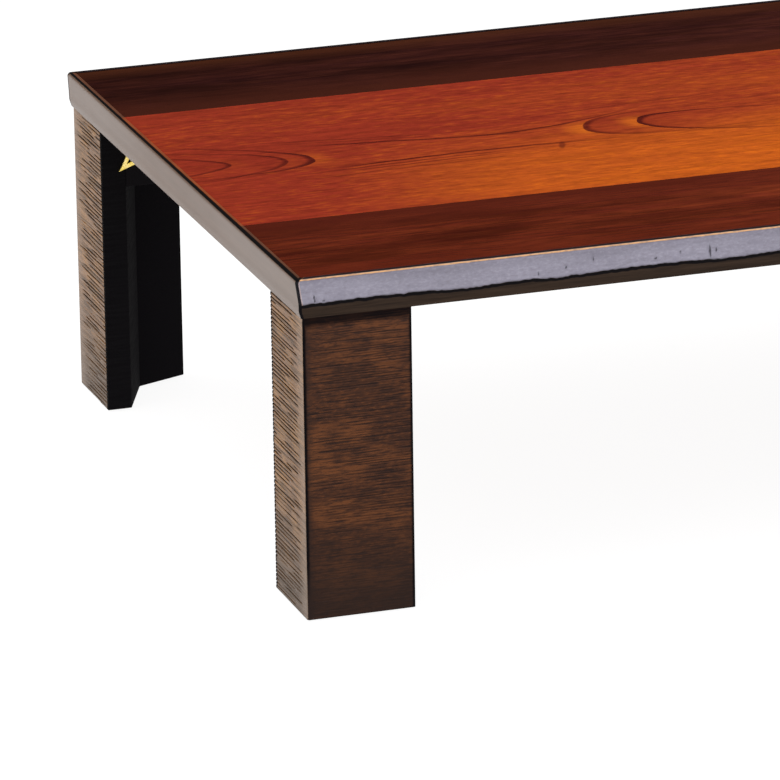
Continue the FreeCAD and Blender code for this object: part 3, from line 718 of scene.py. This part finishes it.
def planed_lacquer():
    material, place = start_material("planed_lacquer", math.pi / 2)
    zone = mark(place, "zone")
    forward = apart(place)["X"]
    across = reckon("ABSOLUTE", forward)
    grain = grained(place, 200.0, 6.0)
    mottle = cloud(place, (60.0, 60.0, 20.0), 2.0)
    streaks = rise(grain["Streaks"], 0.3, 0.7)
    colour = mixed(streaks, (0.100, 0.060, 0.040), (0.125, 0.076, 0.052))
    by_band = rise(across, BAND_INNER_Y - 1.0, BAND_INNER_Y + 1.0)
    lip = mixed(by_band, (0.225, 0.050, 0.0120), (0.105, 0.036, 0.0160))
    lip = shaded(lip, rise(mottle, 0.3, 0.7, 0.8, 1.2))
    colour = mixed(rise(zone, 1.84, 1.90), colour, lip)
    # The black line along the top arris and down the corners is a painted dark reflection of the rounded
    # arrises
    sides = [rise(forward, LINE_HALF, -LINE_HALF, *zones) for zones in (LINE_FOOT, LINE_HEAD)]
    arris = line_mask(place, zone, *sides, 0.04, 0.05)
    corner = line_mask(place, mark(place, "from_end"), -1.0, 2.2, 0.35, 0.5)
    black = reckon("MAXIMUM", arris, corner)
    colour = mixed(black, colour, BLACK_LACQUER_AND_SHADE)
    glossy = times(
        reckon("SUBTRACT", 1.0, black), rise(zone, 1.84, 1.90, 1.0, 0.4), rise(across, 40.0, 280.0, 0.8, 1.0))
    rough = rise(mottle, 0.3, 0.7, 0.60, 0.70)
    coat = {"IOR": 1.12, "Coat Weight": glossy, "Coat Roughness": 0.38}
    return finish_surface(material, colour, rough, (mottle, 0.03, 0.0008), coat)


planed_finish = planed_lacquer()
for side, edge in ((-1, "left"), (1, "right")):
    strip = short_strip(side, edge + "_planed_edge")
    fit_piece(strip, planed_finish, "tabletop", edge + "_edge_strip")


# Leg boards: a side board and a face board, mitred together into an open corner leg.
# Their outsides are combed level by a saw before staining, deeply on the side boards, finely on the others.
# Their insides and free edges are painted black, and so is a band at the head of each face board, as painted
# shade under the top.

CORNERS = {"front_left": (-1, -1), "front_right": (1, -1), "rear_left": (-1, 1), "rear_right": (1, 1)}
LEG_CORNER_X, LEG_CORNER_Y = 594.7, 371.8
LEG_FOOT, LEG_HEAD = 1.5, 288.8
INNER_CORNER = (51.0, 34.0)
# How the shared arris, the free edge, the inner tip and the ends are eased, and the steps of the mesh there
ARRIS_EASE, ARRIS_DROP, ARRIS_FLAT, ARRIS_STEP = 1.2, 0.3, 0.45, 0.5
EDGE_EASE, EDGE_DROP, EDGE_STEP = 1.0, 0.4, 0.4
TIP_START, TIP_EASE = 1.3, 0.6
END_EASE, END_SHARE = 0.5, 0.992
ROW = 0.6
# What the points inside a board are marked with as their distance from the arris
INSIDE = 200.0
# The saw's cuts: half thickness, lean, slack of the upper side; depth, length and start of their wave;
# how many stretches each has, how deep and where these begin, their run-in, and what is cut between them
CUT_HALF, CUT_LEAN, CUT_SLACK = (0.6, 0.9), (-0.008, 0.008), 1.4
CUT_WAVE, CUT_WAVE_LENGTH, CUT_WAVE_START = 0.2, (9.0, 30.0), (0.0, 6.3)
STRETCHES, STRETCH_BITE, STRETCH_START = 3, (0.35, 1.0), (0.0, 0.95)
RUN_IN, SKIPPED = 6.0, 0.10
# How far from the arris the cuts begin, and how they deepen from there
CUT_BEGIN, CUT_DEEPEN = 1.0, 0.8
# Of each board: width and tip, the turn that lays its width along X, and the mesh's step across it;
# spacing and greatest depth of the cuts, how far they run, and how far from the arris they reach their depth;
# the tones of its stain, the tone beside its arris (a painted sheen on the side boards, darker stain on the
# face boards), and the width and share of that margin;
# how dark a cut (painted shade in its groove), the foot and the head (painted shade under the top) are, the
# width of the dark arris and free edge, and their softness;
# the lengths of its streaks and flecks along X, Y and Z, its roughness and its refraction
BOARDS = {
    # The side boards' tones are lighter than the face boards': lit and shaded copies of one stain, painted
    # light on the boards that face the lit left
    "side": {
        "width": 96.5, "tip": 24.5, "turn": math.pi / 2, "column": 3.0,
        "pitch": (3.3, 4.7), "deepest": 1.1, "run": (0.3, 0.9), "fade": 26.0,
        "brown": (0.178, 0.0920, 0.0430), "rust": (0.255, 0.1290, 0.0470), "dark": (0.066, 0.0450, 0.0310),
        "beside": (0.270, 0.2000, 0.1550), "margin": (27.0, 0.38),
        "cut": 0.92, "foot": 0.80, "head": 0.0, "arris": 0.8, "edge": 4.0, "soft": 0.5,
        "streak": (44.0, 44.0, 1.7), "fleck": (12.0, 12.0, 2.2), "rough": (0.26, 0.42), "ior": 1.18,
    },
    "face": {
        "width": 103.0, "tip": 13.5, "turn": 0.0, "column": 5.0,
        "pitch": (1.9, 2.9), "deepest": 0.16, "run": (0.15, 0.60), "fade": 5.0,
        "brown": (0.052, 0.0186, 0.0076), "rust": (0.114, 0.0385, 0.0118), "dark": (0.015, 0.0080, 0.0056),
        "beside": (0.015, 0.0080, 0.0056), "margin": (10.0, 0.65),
        "cut": 0.62, "foot": 0.85, "head": 0.9, "arris": 2.6, "edge": 2.4, "soft": 1.3,
        "streak": (18.0, 18.0, 1.3), "fleck": (4.5, 4.5, 1.6), "rough": (0.36, 0.52), "ior": 1.16,
    },
}


def saw_combing(across, up, board, draw):
    # Depth of the saw's level cuts over a board: each is broken where the blade skipped
    depth = np.zeros(np.broadcast(across, up).shape)
    width = board["width"]
    level = LEG_FOOT - board["pitch"][1]
    while level < LEG_HEAD + board["pitch"][1]:
        level += draw.uniform(*board["pitch"])
        half = draw.uniform(*CUT_HALF)
        lean = draw.uniform(*CUT_LEAN)
        wave = CUT_WAVE * np.sin(across / draw.uniform(*CUT_WAVE_LENGTH) + draw.uniform(*CUT_WAVE_START))
        away = (up - level - lean * (across - width / 2) - wave) / half
        cut = np.where(away > 0, np.clip(1 - away / CUT_SLACK, 0, 1), np.clip(1 + away, 0, 1))
        for _ in range(STRETCHES):
            bite = board["deepest"] * draw.uniform(*STRETCH_BITE)
            begin = draw.uniform(*STRETCH_START) * width
            finish = begin + draw.uniform(*board["run"]) * width
            held = np.clip((across - begin) / RUN_IN, 0, 1) * np.clip((finish - across) / RUN_IN, 0, 1)
            depth = np.maximum(depth, bite * (SKIPPED + (1 - SKIPPED) * held) * cut)
    return depth


def board_rings(board, back, draw):
    # Rings of one leg board up its height, from the shared arris along its outside and back round its inside
    width = board["width"]
    steps = np.linspace(ARRIS_EASE, width, round(width / board["column"]) + 1)
    outer = np.concatenate((
        (0.0, ARRIS_STEP), steps[:-1], (width - EDGE_EASE, width - EDGE_STEP, width)))
    rows = np.linspace(LEG_FOOT, LEG_HEAD, round((LEG_HEAD - LEG_FOOT) / ROW) + 1)
    up, across = np.meshgrid(rows, outer, indexing="ij")
    deepening = np.clip((across - CUT_BEGIN) / board["fade"], 0.0, 1.0) ** CUT_DEEPEN
    cut = saw_combing(across, up, board, draw) * deepening
    ease = ARRIS_DROP * np.clip(1 - across / ARRIS_EASE, 0, 1) ** 2
    ease += EDGE_DROP * np.clip(1 - (width - across) / EDGE_EASE, 0, 1) ** 2
    front = np.stack((across, cut + ease, up), axis=-1)
    front[:, 0, 0] = ARRIS_FLAT
    inside = np.array([[(a, b, z) for a, b in back] for z in rows])
    rings = np.concatenate((front, inside), axis=1)
    cut = np.concatenate((cut, np.zeros(inside.shape[:2])), axis=1)
    across = np.concatenate((across, np.full(inside.shape[:2], INSIDE)), axis=1)
    # Both ends of the board are eased, and painted like its inside
    order = np.array([0, 0] + list(range(1, len(rows) - 1)) + [len(rows) - 1] * 2)
    rings = rings[order]
    rings[1, :, 2] += END_EASE
    rings[-2, :, 2] -= END_EASE
    middle = rings[0, :, :2].mean(axis=0)
    for ring in (rings[0], rings[-1]):
        ring[:, :2] = middle + (ring[:, :2] - middle) * END_SHARE
    across = across[order]
    across[[0, -1]] = INSIDE
    return rings, {"cut": cut[order], "across": across}


def from_corner(corner, u, v, z):
    # A place that is counted inwards from the corner of a leg, and up
    side_x, side_y = CORNERS[corner]
    return side_x * (LEG_CORNER_X - u), side_y * (LEG_CORNER_Y - v), z


def leg_board(kind, corner, draw):
    board = BOARDS[kind]
    width, tip = board["width"], board["tip"]
    inner = INNER_CORNER[::-1] if kind == "side" else INNER_CORNER
    back = [(width, TIP_START), (width, tip - TIP_EASE), (width - TIP_EASE, tip), inner]
    rings, marks = board_rings(board, back, draw)
    if kind == "side":
        rings = rings[..., (1, 0, 2)]
    rings = np.stack(from_corner(corner, *np.moveaxis(rings, -1, 0)), axis=-1)
    return skinned(corner + "_combed_" + kind, [rings], marks)


# Black paint, also used as painted shade under the top of the face boards
BLACK_PAINT_AND_SHADE = (0.0024, 0.0020, 0.0025)


def combed_stain(kind):
    board = BOARDS[kind]
    material, place = start_material("combed_" + kind + "_stain", board["turn"])
    up = apart(place)["Z"]
    across = mark(place, "across")
    # The saw cuts are painted dark by their depth: painted shade in the grooves
    cut = rise(mark(place, "cut"), 0.06 * board["deepest"], 0.5 * board["deepest"])
    patches = cloud(place, (40.0, 40.0, 26.0), 3.0)
    flecks, streaks = [cloud(place, board[lengths], 3.0) for lengths in ("fleck", "streak")]
    margin, share = board["margin"]
    # A band under the top, on the face boards only, is painted black: painted shade under the top
    head = times(line_mask(place, up, 280.0, 320.0, 4.0, 3.0), board["head"])
    arris = line_mask(place, across, -5.0, board["arris"], board["soft"], 1.0)
    arris = times(arris, rise(up, 12.0, 60.0, 0.1, 1.0))
    edge = line_mask(place, across, board["width"] - board["edge"], INSIDE + 50.0, board["soft"], 1.5)
    black = reckon("MAXIMUM", head, reckon("MAXIMUM", arris, edge))
    colour = painted(board["brown"], (
        (rise(patches, 0.42, 0.66), board["rust"]),
        (rise(flecks, 0.50, 0.72, 0.0, 0.65), board["rust"]),
        (rise(flecks, 0.48, 0.28, 0.0, 0.55), board["dark"]),
        (rise(streaks, 0.44, 0.64, 0.0, 0.64), board["dark"]),
        (rise(up, 120.0, 8.0, 0.0, board["foot"]), board["dark"]),
        # Beside the arris: a painted sheen on the side boards, darker stain on the face boards
        (rise(across, margin, 1.5, 0.0, share), board["beside"]),
        # Painted shade in the saw cuts
        (times(cut, rise(up, 10.0, 130.0, 0.2, 1.0), board["cut"]), BLACK_LACQUER_AND_SHADE),
        (black, BLACK_PAINT_AND_SHADE),
    ))
    rough = reckon("MULTIPLY_ADD", black, 0.60, rise(streaks, 0.3, 0.7, *board["rough"]))
    return finish_surface(material, colour, rough, (streaks, 0.25, 0.0005), {"IOR": board["ior"]})


draw = np.random.RandomState(41)
for kind in BOARDS:
    stain = combed_stain(kind)
    for corner in CORNERS:
        board = leg_board(kind, corner, draw)
        fit_piece(board, stain, "leg_" + corner, corner + "_" + kind + "_board")


# Hinge blocks: hardwood blocks glued into the hollow of each leg to take the hinge arms.
# They are brushed black with the inside of the leg.

def brushed_black():
    material, place = start_material("brushed_black")
    strokes = cloud(place, (3.0, 3.0, 40.0), 3.0)
    colour = mixed(strokes, BLACK_PAINT_AND_SHADE, (0.0048, 0.0040, 0.0047))
    rough = rise(strokes, 0.3, 0.7, 0.66, 0.82)
    return finish_surface(material, colour, rough, (strokes, 0.2, 0.0003), {"IOR": 1.14})


def ease_edges(names, width):
    # Takes the sharpness off the edges of some nodes
    for name in names:
        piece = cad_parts[name]
        weld = piece.modifiers.new("joined_faces", "WELD")
        weld.merge_threshold = 0.00001
        bevel = piece.modifiers.new("eased_edges", "BEVEL")
        bevel.width = width
        bevel.segments = 2
        bevel.angle_limit = math.radians(40)
        bevel.harden_normals = True


hinge_blocks = [corner + "_hinge_block" for corner in CORNERS]
finish_nodes(hinge_blocks, brushed_black())
ease_edges(hinge_blocks, 0.0008)


# Hinge plates and arms: pressed steel, passivated to a mottled yellow. The base plate is screwed up under
# the top, and the long and the short arm are screwed to both faces of the hinge block.

def make_rolled_sheet():
    # Cloudy passivation and fine scratches on pressed steel
    group, given, result = start_group("rolled_sheet", ["Place"], [], ["Clouds", "Scratches"])
    connect(cloud(given["Place"], (7.0, 7.0, 7.0), 3.0), result["Clouds"])
    scored = cloud(given["Place"], (14.0, 0.35, 0.35), 2.0)
    connect(rise(scored, 0.35, 0.7), result["Scratches"])
    return group


rolled_sheet = make_rolled_sheet()


def passivated_steel():
    material, place = start_material("passivated_steel")
    sheet = place_group(rolled_sheet, {"Place": place})
    clouds = sheet["Clouds"]
    colour = mixed(rise(clouds, 0.3, 0.7), (0.80, 0.60, 0.11), (0.88, 0.71, 0.28))
    colour = mixed(rise(clouds, 0.58, 0.75, 0.0, 0.35), colour, (0.70, 0.42, 0.36))
    rough = rise(sheet["Scratches"], 0.0, 1.0, 0.28, 0.42)
    return finish_surface(material, colour, rough, (sheet["Scratches"], 0.08, 0.0002), {"Metallic": 1.0})


plated = passivated_steel()
finish_nodes([corner + "_base_plate" for corner in CORNERS], plated)
for kind in ("long_arm", "short_arm"):
    arms = [corner + "_" + kind for corner in CORNERS]
    finish_nodes(arms, plated)
    ease_edges(arms, 0.0003)


# Screws: pan heads with a cross recess, plated like the hinges.
# Three hold each base plate up against the top, and four hold the arms of each leg to its hinge block.

SCREW_SHANK, SCREW_HEAD, SCREW_POINT = 1.9, 3.4, 0.2
SCREW_TAPER, SCREW_TIP = 12.0, 15.5
# The head: radii of the rings over it, radius of its dome, heights of the rim and of the dome over that
HEAD_RADII = (0.04, 0.3, 0.45, 0.6, 0.9, 1.2, 1.5, 1.75, 1.95, 2.2, 2.7, 3.1, 3.32)
DOME_RADIUS, HEAD_RIM, HEAD_DOME = 3.5, 0.75, 1.2
HEAD_SIDE = (-0.55, -0.02)
RECESS_HALF_WIDTH, RECESS_REACH, RECESS_DEPTH = 0.45, 1.9, 1.1
RECESS_SOFT = (0.15, 0.3)
SCREW_SIDES = 48
# Places from the corner of the leg; the shank points up, or across one way or the other
BASE_SCREWS = ((133.0, 49.7, 286.5), (133.0, 107.8, 286.5), (160.0, 78.75, 285.6))
ARM_SCREWS = (
    (38.0, 99.0, 274.5, -1), (69.0, 99.0, 269.57, -1), (69.0, 58.5, 269.57, 1), (48.11, 58.5, 269.57, 1))


def turned(profile, base, axis, sides):
    # Rings round an axis from base, through radius and distance along the axis
    axis = np.array(axis, float)
    across = np.array((1.0, 0.0, 0.0))
    up = np.cross(axis, across)
    angle = np.linspace(0, 2 * math.pi, sides, endpoint=False)
    circle = np.cos(angle)[:, None] * across + np.sin(angle)[:, None] * up
    return np.array([np.array(base) + radius * circle + along * axis for radius, along in profile])


def screw_rings(seat, axis):
    top = np.array(HEAD_RADII)
    dome = -(HEAD_RIM + HEAD_DOME * np.sqrt(1 - (top / DOME_RADIUS) ** 2))
    profile = list(zip(top, dome)) + [(SCREW_HEAD, height) for height in HEAD_SIDE]
    profile += [(SCREW_SHANK, 0.0), (SCREW_SHANK, SCREW_TAPER), (SCREW_POINT, SCREW_TIP)]
    rings = turned(profile, seat, axis, SCREW_SIDES)
    angle = np.linspace(0, 2 * math.pi, SCREW_SIDES, endpoint=False)
    first, second = np.abs(top[:, None] * np.cos(angle)), np.abs(top[:, None] * np.sin(angle))
    arms = []
    for a, b in ((first, second), (second, first)):
        beside = np.clip((RECESS_HALF_WIDTH - a) / RECESS_SOFT[0] + 0.5, 0, 1)
        arms.append(beside * np.clip((RECESS_REACH - b) / RECESS_SOFT[1] + 0.5, 0, 1))
    rings[:len(top)] += (RECESS_DEPTH * np.maximum(*arms))[..., None] * np.array(axis, float)
    return rings


def fixings(name, solids, body, node):
    fit_piece(skinned(name, solids, {}), plated, body, node)


base_screws = [
    screw_rings(from_corner(corner, *seat), (0, 0, 1)) for corner in CORNERS for seat in BASE_SCREWS]
fixings("pan_head_base_screws", base_screws, "tabletop", "base_plate_screws")
for corner, (_, side_y) in CORNERS.items():
    arm_screws = [
        screw_rings(from_corner(corner, *seat), (0, -side_y * way, 0)) for *seat, way in ARM_SCREWS]
    fixings(corner + "_pan_head_screws", arm_screws, "leg_" + corner, corner + "_arm_screws")


# Hinge pins: plated rivets through both ears of each base plate, with a low domed head hammered over outside
# each ear. The arms of the leg turn on the plain shank between the ears.

PIN_U, PIN_Z = 112.0, 273.5
INNER_EAR_V, OUTER_EAR_V = 55.7, 101.8
PIN_RADIUS, PIN_SIDES = 3.0, 40
# Radius and height of each ring of a head
PIN_DOME = (
    (0.05, 2.0), (1.8, 1.9), (3.3, 1.55), (4.5, 1.0), (5.2, 0.45), (5.5, 0.0), (5.3, 0.0), (PIN_RADIUS, 0.0))
pin_length = OUTER_EAR_V - INNER_EAR_V
pin_profile = [(r, -h) for r, h in PIN_DOME] + [(r, pin_length + h) for r, h in reversed(PIN_DOME)]
pins = []
for corner, (_, side_y) in CORNERS.items():
    start = from_corner(corner, PIN_U, INNER_EAR_V, PIN_Z)
    pins.append(turned(pin_profile, start, (0, -side_y, 0), PIN_SIDES))
fixings("domed_hinge_pins", pins, "tabletop", "hinge_pins")


# Detent springs: blued leaves of spring steel held under the tail of each base plate.
# The tip rests at a flat of the arms and holds the leg open or folded.

def blued_spring():
    material, place = start_material("blued_spring")
    sheet = place_group(rolled_sheet, {"Place": place})
    colour = mixed(rise(sheet["Clouds"], 0.3, 0.7), (0.16, 0.17, 0.21), (0.26, 0.25, 0.26))
    rough = rise(sheet["Scratches"], 0.0, 1.0, 0.25, 0.40)
    return finish_surface(material, colour, rough, others={"Metallic": 1.0})


finish_nodes([corner + "_detent_spring" for corner in CORNERS], blued_spring())


# Felt pads: pressed brown felt glued under each leg, cut a little smaller than the leg's end.
# Its cut rim is soft and slightly frayed.

(face_width, face_tip), (side_width, side_tip) = [
    (BOARDS[kind]["width"], BOARDS[kind]["tip"]) for kind in ("face", "side")]
LEG_PLAN = (
    (0.0, 0.0), (face_width, 0.0), (face_width, face_tip), INNER_CORNER, (side_tip, side_width),
    (0.0, side_width))
FELT_INSET = 4.0
# Height of each ring of the rim, and how far it is drawn in
FELT_RIM = ((0.0, 0.5), (0.18, 0.12), (0.7, 0.0), (1.25, 0.1), (1.5, 0.35))
# Steps along each side of the plan; how far the rim frays, and the length and height of a tuft
RIM_STEPS = 15
FRAY, TUFT_LENGTH, TUFT_HEIGHT = 0.12, 1.7, 1 / 3


def inset_plan(plan, inset):
    # The plan drawn in on all sides, its edges divided into short steps
    plan = np.array(plan)
    runs = np.roll(plan, -1, axis=0) - plan
    runs /= np.linalg.norm(runs, axis=1)[:, None]
    starts = plan + inset * np.stack((-runs[:, 1], runs[:, 0]), axis=-1)
    corners = []
    for before, after in zip(range(-1, len(plan) - 1), range(len(plan))):
        turn = np.stack((runs[before], -runs[after]), axis=-1)
        share = np.linalg.solve(turn, starts[after] - starts[before])[0]
        corners.append(starts[before] + share * runs[before])
    corners = np.array(corners)
    steps = np.linspace(0, 1, RIM_STEPS + 1)[:-1, None]
    sides = zip(corners, np.roll(corners, -1, axis=0))
    return np.concatenate([start * (1 - steps) + end * steps for start, end in sides])


def felt_rings(corner):
    rings = []
    for height, drawn in FELT_RIM:
        outline = inset_plan(LEG_PLAN, FELT_INSET + drawn)
        layer = height / TUFT_HEIGHT + CORNERS[corner][0]
        fray = FRAY * uneven(outline[:, 0] / TUFT_LENGTH, outline[:, 1] / TUFT_LENGTH, layer)
        outwards = outline - outline.mean(axis=0)
        outline = outline + fray[:, None] * outwards / np.linalg.norm(outwards, axis=1)[:, None]
        rings.append([from_corner(corner, u, v, height) for u, v in outline])
    return np.array(rings)


def pressed_felt():
    material, place = start_material("pressed_felt")
    fibres = cloud(place, (0.6, 0.6, 0.6), 4.0)
    colour = mixed(rise(fibres, 0.3, 0.7), (0.10, 0.062, 0.040), (0.19, 0.130, 0.090))
    return finish_surface(material, colour, 0.95, (fibres, 0.6, 0.0005), {"Sheen Weight": 0.4})


felt = pressed_felt()
for corner in CORNERS:
    pad = skinned(corner + "_frayed_felt", [felt_rings(corner)], {})
    fit_piece(pad, felt, "leg_" + corner, corner + "_felt_pad")


# The studio: a pale glowing floor, an overhead dome that fades towards a dim horizon, and two panels of
# light. One is low in front and lies along the upper facet of the front edge, the other lights the left end.

FLOOR_HALF, FLOOR_GLOW = 60.0, 0.92


def pale_floor():
    material, place = start_material("pale_floor")
    haze = cloud(place, (900.0, 900.0, 900.0), 2.0)
    colour = mixed(haze, (0.14, 0.14, 0.14), (0.16, 0.16, 0.16))
    finish_surface(material, colour, 1.0, others={
        "Specular IOR Level": 0.0, "Emission Color": (1.0, 1.0, 1.0), "Emission Strength": FLOOR_GLOW})
    tree = material.node_tree
    clear = add(tree, "BsdfTransparent")
    below = add(tree, "NewGeometry").outputs["Backfacing"]
    either = add(tree, "MixShader")
    pale = tree.nodes["Principled BSDF"]
    for value, socket in zip((below, pale.outputs[0], clear.outputs[0]), either.inputs):
        connect(value, socket)
    connect(either.outputs[0], tree.nodes["Material Output"].inputs["Surface"])
    return material


floor_mesh = bpy.data.meshes.new("floor")
floor_corners = [(x * FLOOR_HALF, y * FLOOR_HALF, 0.0) for x, y in ((-1, -1), (1, -1), (1, 1), (-1, 1))]
floor_mesh.from_pydata(floor_corners, [], [(0, 1, 2, 3)])
floor_mesh.materials.append(pale_floor())
in_scene("floor", floor_mesh)

DOME_LIGHT, HORIZON_LIGHT = 2.1, 0.008
# The dome begins and is full where the way looked in rises this much
DOME_START, DOME_FULL = 0.45, 0.90
BACKDROP = (0.93, 0.93, 0.93)


def studio_world():
    world = bpy.data.worlds.new("studio")
    world.use_nodes = True
    tree = world.node_tree
    up = apart(add(tree, "TexCoord").outputs["Generated"])["Z"]
    light = rise(up, DOME_START, DOME_FULL, HORIZON_LIGHT, DOME_LIGHT)
    seen = add(tree, "LightPath").outputs["Is Camera Ray"]
    shown = mixed(seen, joined(light, light, light), BACKDROP)
    connect(shown, tree.nodes["Background"].inputs["Color"])
    return world


bpy.context.scene.world = studio_world()

# Panels of light: place, turn about the upright axis in degrees, width, height, radiance and colour
PANELS = {
    "front_panel": ((0.62, -3.37, 0.60), 17.0, 2.4, 0.9, 9.8, (0.87, 0.85, 1.0)),
    "left_panel": ((-3.0, 0.3, 0.42), -90.0, 4.0, 0.7, 5.0, (1.0, 0.95, 0.88)),
}
for name, (spot, turn, width, height, radiance, tint) in PANELS.items():
    lamp = bpy.data.lights.new(name, "AREA")
    lamp.shape = "RECTANGLE"
    lamp.size, lamp.size_y = width, height
    lamp.energy = radiance * math.pi * width * height
    lamp.color = tint
    panel = in_scene(name, lamp)
    panel.location = spot
    panel.rotation_euler = (math.radians(90.0), 0.0, math.radians(turn))
    panel.visible_camera = False

CAMERA_PLACE = (-2.3908, -6.1002, 2.1923)
CAMERA_RIGHT = (0.94869, -0.31590, -0.01427)
CAMERA_UP = (0.11147, 0.29185, 0.94995)
CAMERA_BACK = (-0.29592, -0.90279, 0.31209)
LENS = 324.96

lens = bpy.data.cameras.new("camera")
lens.lens = LENS
lens.sensor_width = 36.0
lens.clip_end = 200.0
camera = in_scene("camera", lens)
camera.matrix_world = Matrix((CAMERA_RIGHT, CAMERA_UP, CAMERA_BACK)).transposed().to_4x4()
camera.location = CAMERA_PLACE
bpy.context.scene.camera = camera
bpy.context.scene.view_settings.view_transform = "Standard"
